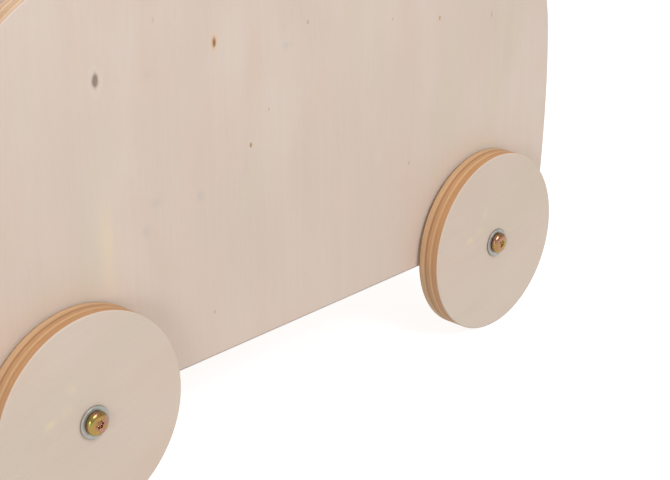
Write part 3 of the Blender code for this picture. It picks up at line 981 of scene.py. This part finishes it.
@dataclass(frozen=True)
class SidePanel:
    """One bowed side of the box."""

    side: Side
    spots: tuple[Spot, ...]
    bow_height: float = 0.170      # height at which the panel is longest
    lower_bow: float = 0.900       # radius of the end's lower arc
    upper_bow: float = 0.620       # radius of the arc above it
    shoulder: float = 0.222        # height at which the top corner begins
    foot: float = 0.008            # radius of the lower corners
    edge: float = 0.0010

    @property
    def box(self) -> Box:
        """The CAD panel's box."""
        return Box.of(f"{self.side.label}_side_panel")

    def outline(self) -> list[Point]:
        """The panel's outline about the body's middle: arcs that run into each other."""
        box = self.box
        half_length = box.size.x / 2
        low_centre = half_length - self.lower_bow
        foot_z = box.low.z + self.foot
        reach = self.lower_bow - self.foot
        foot_x = low_centre + math.sqrt(reach ** 2 - (foot_z - self.bow_height) ** 2)
        foot_end = math.atan2(foot_z - self.bow_height, foot_x - low_centre)
        shoulder = math.asin((self.shoulder - self.bow_height) / self.upper_bow)
        high_centre = half_length - self.upper_bow
        corner = (box.high.z - self.shoulder) / (1 - math.sin(shoulder))
        corner_x = high_centre + (self.upper_bow - corner) * math.cos(shoulder)
        corner_z = self.bow_height + (self.upper_bow - corner) * math.sin(shoulder)
        half = (arc((foot_x, foot_z), self.foot, -math.pi / 2, foot_end, 10)
                + arc((low_centre, self.bow_height), self.lower_bow, foot_end, 0, 14)[1:]
                + arc((high_centre, self.bow_height), self.upper_bow, 0, shoulder, 7)[1:]
                + arc((corner_x, corner_z), corner, shoulder, math.pi / 2, 40)[1:])
        return half + [(-x, z) for x, z in reversed(half)]

    def build(self, axles: Sequence[Vector]) -> None:
        """Makes the panel with its two axle holes.

        Args:
            axles: the wheel centres on this side.
        """
        box = self.box
        place = Vector((box.middle.x, box.middle.y, 0))
        holes = [ring((axle.x - place.x, axle.z), BOLT_BORE) for axle in axles]
        mesh = upright(slab([self.outline(), *holes], box.size.y, self.edge), place)
        inner = min(abs(box.low.y), abs(box.high.y))
        lay = Lay(Axis.X, Axis.Z, Axis.Y, Vector((place.x, 0, 0)), inner, box.size.y)
        finish = PlyFinish(f"side_plywood_{self.side.label}", lay, PANEL_PLIES, self.spots,
                           seed=2.0 + 9.0 * (self.side is Side.RIGHT)).make()
        add_piece(f"side_{self.side.label}", mesh, finish,
                  [f"{self.side.label}_side_panel"])


@dataclass(frozen=True)
class Tub:
    """The ends, floor, cleats and beams between the two sides."""

    board_edge: float = 0.0012
    batten_edge: float = 0.0018

    def build(self) -> None:
        """Makes every board and batten."""
        self.build_ends()
        self.build_floor()
        self.build_battens()

    def build_ends(self) -> None:
        """The upright boards at the front and rear."""
        for end in End:
            box = Box.of(f"{end.label}_panel")
            lay = Lay(Axis.Y, Axis.Z, Axis.X, Vector((box.low.x, 0, 0)), 0.0, box.size.x)
            finish = PlyFinish(f"end_plywood_{end.label}", lay, PANEL_PLIES, seed=21.0 + end.value * 4)
            add_piece(f"end_{end.label}", plank(box.low, box.high, self.board_edge), finish.make(),
                      [f"{end.label}_panel"])

    def build_floor(self) -> None:
        """The floor, notched round the corner cleats."""
        box = Box.of("floor_panel")
        post = Box.of("rear_right_corner_cleat")
        notch_x = post.low.x - 2 * FIT - box.middle.x
        notch_y = post.low.y - 2 * FIT
        far_x, far_y = box.size.x / 2, box.size.y / 2
        quarter = [(far_x, notch_y), (notch_x, notch_y), (notch_x, far_y)]
        outline = [(far_x, -notch_y), *quarter, *[(-x, y) for x, y in reversed(quarter)]]
        outline += [(-far_x, -notch_y), (-notch_x, -notch_y), (-notch_x, -far_y), (notch_x, -far_y),
                    (notch_x, -notch_y)]
        mesh = slab([outline], box.size.z, self.board_edge)
        mesh.transform(Matrix.Translation(box.middle))
        lay = Lay(Axis.Y, Axis.X, Axis.Z, Vector((box.middle.x, 0, box.low.z)), 0.0, box.size.z)
        add_piece("floor_board", settle(mesh), PlyFinish("floor_plywood", lay, PANEL_PLIES, seed=41.0).make(),
                  ["floor_panel"])

    def build_battens(self) -> None:
        """The corner cleats, the floor cleats and the axle beams."""
        finishes = {axis: Finishes.softwood(axis, 3.0 + axis.value * 5) for axis in Axis}
        groups = ((Axis.Z, corner_nodes("corner_cleat")),
                  (Axis.X, [f"{side.label}_floor_cleat" for side in Side]),
                  (Axis.Y, [f"{end.label}_axle_beam" for end in End]))
        for grain, nodes in groups:
            for node in nodes:
                box = Box.of(node)
                add_piece(f"{node}_batten", plank(box.low, box.high, self.batten_edge), finishes[grain],
                          [node])


# ---------------------------------------------------------------- wheels

WHEEL_TONES = FaceTones(srgb(213, 194, 177), srgb(215, 193, 175), srgb(212, 195, 177),
                        srgb(216, 198, 182), srgb(194, 170, 146))
WHEEL_SPOTS = (
    Spot(-0.0195, 0.0148, 0.0090, 0.0050, srgb(224, 206, 176), 0.40, 1.1),
    Spot(-0.0316, 0.0101, 0.0075, 0.0042, srgb(226, 206, 172), 0.75, 1.1),
    Spot(-0.0141, 0.0270, 0.0060, 0.0060, srgb(223, 206, 178), 0.50, 1.1))


@dataclass(frozen=True)
class Wheels:
    """The four plywood discs, each on a body of its own."""

    rings: RingTree
    bore: float = 0.0063
    edge: float = 0.0009
    steps: int = 160

    def build(self, nylon: bpy.types.Material) -> None:
        """Makes the wheels and dresses their bushes.

        Args:
            nylon: the bushes' finish.
        """
        grain_turns = {(End.REAR, Side.LEFT): 82, (End.FRONT, Side.LEFT): 74,
                       (End.REAR, Side.RIGHT): 98, (End.FRONT, Side.RIGHT): 60}
        for index, (end, side) in enumerate(CORNERS):
            label = f"{end.label}_{side.label}"
            box = Box.of(f"{label}_wheel")
            inner = min(abs(box.low.y), abs(box.high.y))
            lay = Lay(Axis.X, Axis.Z, Axis.Y, Vector((box.middle.x, 0, box.middle.z)), inner, box.size.y,
                      math.radians(grain_turns[end, side]))
            spots = tuple(turned_spot(spot, lay.turn) for spot in WHEEL_SPOTS)
            # the wheel plies paint shade on the tread's inner rim, for the gap to the side panel
            finish = PlyFinish(f"wheel_plywood_{label}", lay, WHEEL_PLIES_WITH_GAP_SHADE, spots, WHEEL_TONES,
                               61.0 + 13 * index).make()
            mesh = self.rings.run([Mark(box.middle, Vector((0, side.value, 0)))], {
                "Bore": self.bore, "Radius": box.size.z / 2, "Width": box.size.y, "Edge": self.edge,
                "Steps": self.steps, "Finish": finish})
            add_piece(f"disc_{label}", settle(mesh), finish, [f"{label}_wheel"],
                      f"wheel_{label}")
            dress_node(f"{label}_wheel_bush", nylon)


def turned_spot(spot: Spot, turn: float) -> Spot:
    """The same spot in a face whose pattern is turned."""
    across = spot.across * math.cos(turn) - spot.along * math.sin(turn)
    along = spot.across * math.sin(turn) + spot.along * math.cos(turn)
    return Spot(across, along, spot.high, spot.wide, spot.colour, spot.strength, spot.fade)


# ---------------------------------------------------------------- screws, washers and nut

@dataclass(frozen=True)
class PanScrew:
    """A pan-headed machine screw with a star recess."""

    head: float = 0.0080
    height: float = 0.0042
    recess: float = 0.0026
    recess_depth: float = 0.0022
    lobes: float = 0.16
    rim: float = 0.0004            # chamfer under the head's rim
    lip: float = 0.0003            # chamfers of the recess
    shank: float = 0.0040
    point: float = 0.0008          # chamfer of the shank's end
    segments: int = 72

    def mesh(self, length: float) -> bpy.types.Mesh:
        """The screw with its head's seat at Z = 0, pointing up, and its shank below."""
        floor = self.height - self.recess_depth
        wall = self.height * 0.30
        profile = [Turn(self.recess * 0.35, floor - self.lip), Turn(self.recess * 0.90, floor, self.lobes),
                   Turn(self.recess * 0.96, self.height - self.lip, self.lobes),
                   Turn(self.recess * 1.08, self.height - 0.00005, self.lobes)]
        for share in (0.25, 0.5, 0.7, 0.84, 0.94, 0.985, 1.0):
            radius = self.recess * 1.3 + (self.head - self.recess * 1.3) * share
            drop = (self.height - wall) * (1 - math.sqrt(max(0.0, 1 - share ** 2.1)))
            profile.append(Turn(radius, self.height - drop))
        profile += [Turn(self.head, self.rim), Turn(self.head - self.rim, 0.0), Turn(self.shank, 0.0),
                    Turn(self.shank, self.point - length), Turn(self.shank - self.point, -length)]
        return settle(turned(profile, self.segments))


@dataclass(frozen=True)
class FlatScrew:
    """A countersunk wood screw with a star recess."""

    head: float = 0.0042
    depth: float = 0.0024
    shank: float = 0.0021
    length: float = 0.034
    recess: float = 0.0017
    recess_depth: float = 0.0016
    lobes: float = 0.16
    lip: float = 0.0003            # depth of the recess's floor cone and of the rim's chamfer
    point: float = 0.004           # length of the tapered point

    def mesh(self) -> bpy.types.Mesh:
        """The screw with its head's flat top at Z = 0."""
        profile = [Turn(self.recess * 0.4, -self.recess_depth - self.lip),
                   Turn(self.recess * 0.9, -self.recess_depth, self.lobes),
                   Turn(self.recess, -0.0001, self.lobes), Turn(self.recess * 1.1, 0.0, 0.10),
                   Turn(self.head - 0.0002, 0.0), Turn(self.head, -self.lip),
                   Turn(self.shank, -self.depth), Turn(self.shank, -self.length + self.point),
                   Turn(self.shank * 0.3, -self.length)]
        return settle(turned(profile, 48))


@dataclass(frozen=True)
class Hardware:
    """Everything of metal: screws, washers, the pivot bolt and its nut."""

    rings: RingTree
    fasteners: FastenerTree
    finishes: Finishes
    washer_edge: float = 0.0007
    washer_steps: int = 64

    def build(self) -> None:
        """Makes every metal piece."""
        self.build_washers()
        self.build_axle_screws()
        self.build_wood_screws()
        self.build_pivot_bolt()
        self.build_pivot_nut()
        for node in corner_nodes("threaded_insert"):
            dress_node(node, self.finishes.bright_zinc)

    def build_washers(self) -> None:
        """Washers on both sides of each wheel and of each bracket cheek."""
        nodes = [f"{end.label}_{side.label}_{kind}" for end, side in CORNERS
                 for kind in ("outer_washer", "spacer_washer")]
        nodes += [f"{side.label}_{kind}" for side in Side for kind in ("pivot_washer", "pivot_spacer")]
        boxes = [Box.of(node) for node in nodes]
        marks = [Mark(box.middle, Vector((0, math.copysign(1, box.middle.y), 0))) for box in boxes]
        mesh = self.rings.run(marks, {
            "Bore": BOLT_BORE, "Radius": boxes[0].size.z / 2, "Width": boxes[0].size.y,
            "Edge": self.washer_edge, "Steps": self.washer_steps, "Finish": self.finishes.bright_zinc})
        add_piece("washers", settle(mesh), self.finishes.bright_zinc, nodes)

    def place_fasteners(self, name: str, shape: bpy.types.Mesh, marks: Sequence[Mark],
                        finish: bpy.types.Material, seed: int, replaced: Iterable[str]) -> None:
        """Sets copies of one fastener on marks, as one piece.

        Args:
            name: the piece's name.
            shape: the fastener, pointing along Z.
            marks: where the copies go.
            finish: their material.
            seed: seed of their turning.
            replaced: the CAD nodes that they stand for.
        """
        source = linked("fastener", shape)
        mesh = self.fasteners.run(marks, {"Fastener": source, "Seed": seed, "Finish": finish})
        bpy.data.objects.remove(source, do_unlink=True)
        add_piece(name, settle(mesh), finish, replaced)

    def build_axle_screws(self) -> None:
        """The four screws that the wheels turn on."""
        screw = PanScrew()
        nodes = corner_nodes("axle_screw")
        boxes = [Box.of(node) for node in nodes]
        marks = [seat_mark(box, side, screw.height) for box, (_, side) in zip(boxes, CORNERS)]
        self.place_fasteners("axle_screws", screw.mesh(boxes[0].size.y - screw.height), marks,
                             self.finishes.yellow_zinc, 5, nodes)

    def build_wood_screws(self) -> None:
        """Countersunk screws: floor to beams, bracket to front panel, and cleats to the panels."""
        up = Vector((0, 0, 1))
        floor_nodes = corner_nodes("floor_screw")
        marks = [Mark(top_of(Box.of(node), up), up) for node in floor_nodes]
        inward = Vector((1, 0, 0))
        bracket_nodes = [f"{side.label}_{level}_bracket_screw" for side in Side
                         for level in ("upper", "lower")]
        marks += [Mark(top_of(Box.of(node), inward), inward) for node in bracket_nodes]
        marks += self.cleat_marks()
        self.place_fasteners("wood_screws", FlatScrew().mesh(), marks,
                             self.finishes.bright_zinc, 11, floor_nodes + bracket_nodes)

    @staticmethod
    def cleat_marks() -> list[Mark]:
        """Screws from inside the box through each corner cleat, at alternating heights."""
        marks = []
        floor = Box.of("floor_panel").high.z
        for end, side in CORNERS:
            box = Box.of(f"{end.label}_{side.label}_corner_cleat")
            room = box.high.z - floor
            to_middle_x = Vector((-end.value, 0, 0))
            to_middle_y = Vector((0, -side.value, 0))
            for axis, shares in ((to_middle_x, (0.2, 0.52, 0.84)), (to_middle_y, (0.12, 0.44, 0.76))):
                reach = abs(axis.dot(box.size)) / 2 - FIT / 3
                for share in shares:
                    height = floor + room * share
                    marks.append(Mark(Vector((box.middle.x, box.middle.y, height)) + axis * reach, axis))
        return marks

    def build_pivot_bolt(self) -> None:
        """The bolt through the bracket."""
        screw = PanScrew()
        box = Box.of("pivot_bolt")
        mark = seat_mark(box, Side.LEFT, screw.height)
        self.place_fasteners("hinge_bolt", screw.mesh(box.size.y - screw.height), [mark],
                             self.finishes.yellow_zinc, 17, ["pivot_bolt"])

    def build_pivot_nut(self) -> None:
        """The hexagon nut, chamfered at both faces, with its collar round the bolt."""
        box = Box.of("pivot_nut")
        corner, half = max(box.size.x, box.size.z) / 2, box.size.y / 2
        chamfer, lead_in, mouth = 0.0009, 0.0006, 0.0050
        upper = [Turn(BOLT_BORE, half - lead_in), Turn(mouth, half), Turn(corner - 2 * chamfer, half),
                 Turn(corner, half - chamfer)]
        profile = upper + [Turn(turn.radius, -turn.height) for turn in reversed(upper)]
        shape = bmesh.new()
        rings = lay_rings(shape, profile, 48, six_sided)
        bridge(shape, rings[-1], rings[0])
        mesh = mesh_of(shape)
        mesh.transform(Matrix.Translation(box.middle) @ Matrix.Rotation(-math.pi / 2, 4, "X"))
        add_piece("hinge_nut", settle(mesh), self.finishes.bright_zinc, ["pivot_nut"])


def seat_mark(box: Box, side: Side, head_height: float) -> Mark:
    """The seat of a sideways screw whose head is the outer end of its box."""
    outer = box.high.y if side is Side.RIGHT else box.low.y
    return Mark(Vector((box.middle.x, outer - side.value * head_height, box.middle.z)),
                Vector((0, side.value, 0)))


def top_of(box: Box, axis: Vector) -> Vector:
    """The middle of a box's face in one direction."""
    return box.middle + axis * (axis.dot(box.size) / 2)


def six_sided(turn: Turn, angle: float) -> float:
    """How far a nut's ring reaches at one angle; the rings round its bore are plain."""
    if turn.radius < NUT_COLLAR:
        return turn.radius
    half_side = math.pi / 6
    from_corner = (angle + half_side) % (2 * half_side) - half_side
    return turn.radius * math.cos(half_side) / math.cos(half_side - abs(from_corner))


# ---------------------------------------------------------------- pull handle

@dataclass(frozen=True)
class PullHandle:
    """The drawbar with its grip, and the bracket and pad that it needs on the front panel."""

    finishes: Finishes
    lean: float = math.radians(4.0)
    length: float = 0.440          # pivot to the middle of the grip
    half_depth: float = 0.016
    width: float = 0.022
    head: float = 0.021
    bush_bore: float = 0.0063
    grip_radius: float = 0.011
    grip_length: float = 0.150
    pin_radius: float = 0.003
    cheek_half_height: float = 0.032
    cheek_nose: float = 0.018
    bar_edge: float = 0.0028
    cheek_edge: float = 0.0014
    pad_edge: float = 0.0006
    grip_rounding: float = 0.0045
    pin_rounding: float = 0.0006
    pin_proud: float = 0.0002      # how far the pin stands out of the bar's head

    def build(self) -> None:
        """Makes the handle's pieces and those that hold it."""
        self.build_bar()
        self.build_grip()
        self.build_cheeks()
        self.build_pad()
        dress_node("handle_bush", self.finishes.nylon)

    @property
    def placing(self) -> Matrix:
        """From the bar's own frame, with Z along it, to the stowed handle."""
        pivot = joint_place("handle_hinge")
        return Matrix.Translation(pivot) @ Matrix.Rotation(self.lean, 4, "Y")

    def bar_outline(self) -> list[Point]:
        """The drawbar: straight, round at the pivot, with a wider round head."""
        neck = math.acos(self.half_depth / self.head)
        lean_in = math.asin((self.head - self.half_depth) / self.head)
        head = arc((0, self.length), self.head, -neck, math.pi + neck, 40)
        taper = self.length - self.head * (math.sin(neck) + 4 * math.sin(lean_in))
        foot = arc((0, 0), self.half_depth, math.pi, math.tau, 28)
        return [(self.half_depth, taper), *head, (-self.half_depth, taper), *foot]

    def build_bar(self) -> None:
        """The drawbar with its two cross holes."""
        holes = [ring((0, 0), self.bush_bore), ring((0, self.length), self.grip_radius + FIT)]
        mesh = slab([self.bar_outline(), *holes], self.width, self.bar_edge)
        place = joint_place("handle_hinge")
        add_piece("bar", upright(mesh, place, self.lean), Finishes.beech(Axis.Z, 4.0),
                  ["drawbar"], Body.HANDLE.value)

    def build_grip(self) -> None:
        """The round crossbar and the dowel pin that locks it."""
        half = self.grip_length / 2
        upper = rounding(self.grip_radius, half, self.grip_rounding)
        lower = [Turn(turn.radius, -turn.height) for turn in reversed(upper)]
        mesh = turned(upper + lower, 56)
        mesh.transform(self.placing @ Matrix.Translation((0, 0, self.length))
                       @ Matrix.Rotation(math.pi / 2, 4, "X"))
        add_piece("crossbar", settle(mesh), Finishes.beech(Axis.Y, 9.0), ["grip"],
                  Body.HANDLE.value)
        box = Box.of("grip_pin")
        top = self.length + self.head + self.pin_proud
        pin = turned(rounding(self.pin_radius, top, self.pin_rounding, 4)
                     + [Turn(self.pin_radius, top - box.size.z)], 32)
        pin.transform(self.placing)
        add_piece("lock_pin", settle(pin), Finishes.beech(Axis.X, 13.0), ["grip_pin"],
                  Body.HANDLE.value)

    def build_cheeks(self) -> None:
        """The bracket's two cheeks, each a flat foot that narrows to a round nose."""
        pivot = joint_place("handle_hinge")
        finish = Finishes.beech(Axis.X, 17.0)
        for side in Side:
            box = Box.of(f"{side.label}_bracket_cheek")
            foot = box.high.x - pivot.x
            slant = math.atan2(self.cheek_half_height, foot)
            touch = slant + math.acos(self.cheek_nose / math.hypot(foot, self.cheek_half_height))
            nose = arc((0, 0), self.cheek_nose, touch, math.tau - touch, 36)
            outline = [(foot, self.cheek_half_height), *nose, (foot, -self.cheek_half_height)]
            mesh = slab([outline, ring((0, 0), BOLT_BORE)], box.size.y, self.cheek_edge)
            add_piece(f"cheek_{side.label}", upright(mesh, Vector((pivot.x, box.middle.y, pivot.z))),
                      finish, [f"{side.label}_bracket_cheek"])

    def build_pad(self) -> None:
        """The ribbed rubber wedge that the stowed bar leans on."""
        box = Box.of("handle_rest_pad")
        tilt = math.tan(self.lean) * box.size.z
        ribs, depth = 6, 0.0005
        steps = ribs * 8
        face = []
        for index in range(steps + 1):
            share = index / steps
            wave = depth * 0.5 * (1 - math.cos(math.tau * ribs * share))
            face.append((box.low.x + tilt * share + wave, box.low.z + box.size.z * share))
        outline = [(box.high.x, box.low.z), (box.high.x, box.high.z), *reversed(face)]
        mesh = slab([outline], box.size.y, self.pad_edge)
        add_piece("rest_pad", upright(mesh, Vector((0, box.middle.y, 0))), self.finishes.rubber,
                  ["handle_rest_pad"])


# ---------------------------------------------------------------- studio

LAMP_TARGET = Vector((0.0, 0.0, 0.15))


@dataclass(frozen=True)
class Studio:
    """Camera, lights and plain white surroundings."""

    focal_length: float = 83.78
    sensor: float = 36.0
    yaw: float = math.radians(-46.667)     # from +Y, towards +X
    pitch: float = math.radians(-22.264)
    station: Vector = Vector((-12.775, -9.621, 6.528))   # from the near wheel's face, in wheel radii
    world_light: float = 0.54
    key_power: float = 55.0
    fill_power: float = 13.0
    far_power: float = 50.0
    floor_glow: float = 0.84

    def build(self) -> None:
        """Sets up the whole studio."""
        self.add_camera()
        self.add_lights()
        self.add_floor()

    def add_camera(self) -> None:
        """A long lens, in front of and above the left side, that frames the rear wheel."""
        wheel = Box.of("rear_left_wheel")
        face = Vector((wheel.middle.x, wheel.low.y, wheel.middle.z))
        data = bpy.data.cameras.new("camera")
        data.lens = self.focal_length
        data.sensor_width = self.sensor
        data.clip_start = 0.01
        camera = linked("camera", data)
        camera.location = face + self.station * (wheel.size.z / 2)
        camera.rotation_euler = (math.pi / 2 + self.pitch, 0, self.yaw)
        bpy.context.scene.camera = camera

    def add_lights(self) -> None:
        """White surroundings, a broad key light, a weak fill in front and a lamp on the far side."""
        scene = bpy.context.scene
        world = bpy.data.worlds.new("studio")
        world.use_nodes = True
        background = world.node_tree.nodes["Background"]
        background.inputs["Color"].default_value = (1.0, 1.0, 1.0, 1.0)
        background.inputs["Strength"].default_value = self.world_light
        scene.world = world
        scene.view_settings.view_transform = "Standard"
        self.add_lamp("key", Vector((-0.1, -2.6, 2.6)), 1.6, self.key_power)
        self.add_lamp("fill", Vector((-2.4, -1.5, 0.7)), 0.8, self.fill_power)
        self.add_lamp("far", Vector((0.9, 2.9, 1.9)), 1.6, self.far_power)

    @staticmethod
    def add_lamp(name: str, place: Vector, size: float, power: float) -> None:
        """Adds a round soft lamp that points at the wagon.

        Args:
            name: the lamp's name.
            place: where it hangs.
            size: its diameter.
            power: its power in watts.
        """
        light = bpy.data.lights.new(name, "AREA")
        light.shape = "DISK"
        light.size = size
        light.energy = power
        lamp = linked(name, light)
        lamp.location = place
        lamp.rotation_euler = (LAMP_TARGET - place).to_track_quat("-Z", "Y").to_euler()

    def add_floor(self) -> None:
        """A white floor and tall walls, which glow but add no diffuse light to the wagon."""
        graph = Graph("studio_floor")
        haze = graph.noise(graph.place, 3, 2, 1.0)
        white = graph.blend(haze, srgb(160, 160, 160), srgb(164, 164, 164))
        finish = graph.finish(Base_Color=white, Roughness=0.9, Emission_Color=(1.0, 1.0, 1.0, 1.0),
                              Emission_Strength=self.floor_glow, Specular_IOR_Level=0.0)
        half, rise = 8.0, 8.0      # half the floor's width, and the walls' height, in metres
        gap = 0.0001               # under the wheels, so that no faces coincide
        plan = [(-half, -half), (half, -half), (half, half), (-half, half)]
        corners = [(x, y, z) for z in (-gap, rise) for x, y in plan]
        walls = [(i, (i + 1) % 4, (i + 1) % 4 + 4, i + 4) for i in range(4)]
        for name, faces in (("studio_floor", [(0, 1, 2, 3)]), ("studio_walls", walls)):
            mesh = bpy.data.meshes.new(name)
            mesh.from_pydata(corners, [], faces)
            mesh.materials.append(finish)
            backdrop = linked(name, mesh)
            backdrop.visible_diffuse = False
            backdrop.visible_glossy = backdrop.visible_shadow = name == "studio_floor"


def main() -> None:
    """Builds the wagon's looks in order."""
    logging.basicConfig(level=logging.INFO, format="%(name)s: %(message)s")
    finishes = Finishes()
    rings, fasteners = RingTree(), FastenerTree()
    for side, spots in ((Side.LEFT, LEFT_SPOTS), (Side.RIGHT, RIGHT_SPOTS)):
        axles = [Box.of(f"{end.label}_{side.label}_wheel").middle for end in End]
        SidePanel(side, spots).build(axles)
    Tub().build()
    Wheels(rings).build(finishes.nylon)
    Hardware(rings, fasteners, finishes).build()
    PullHandle(finishes).build()
    Studio().build()


if __name__ == "__main__":
    main()
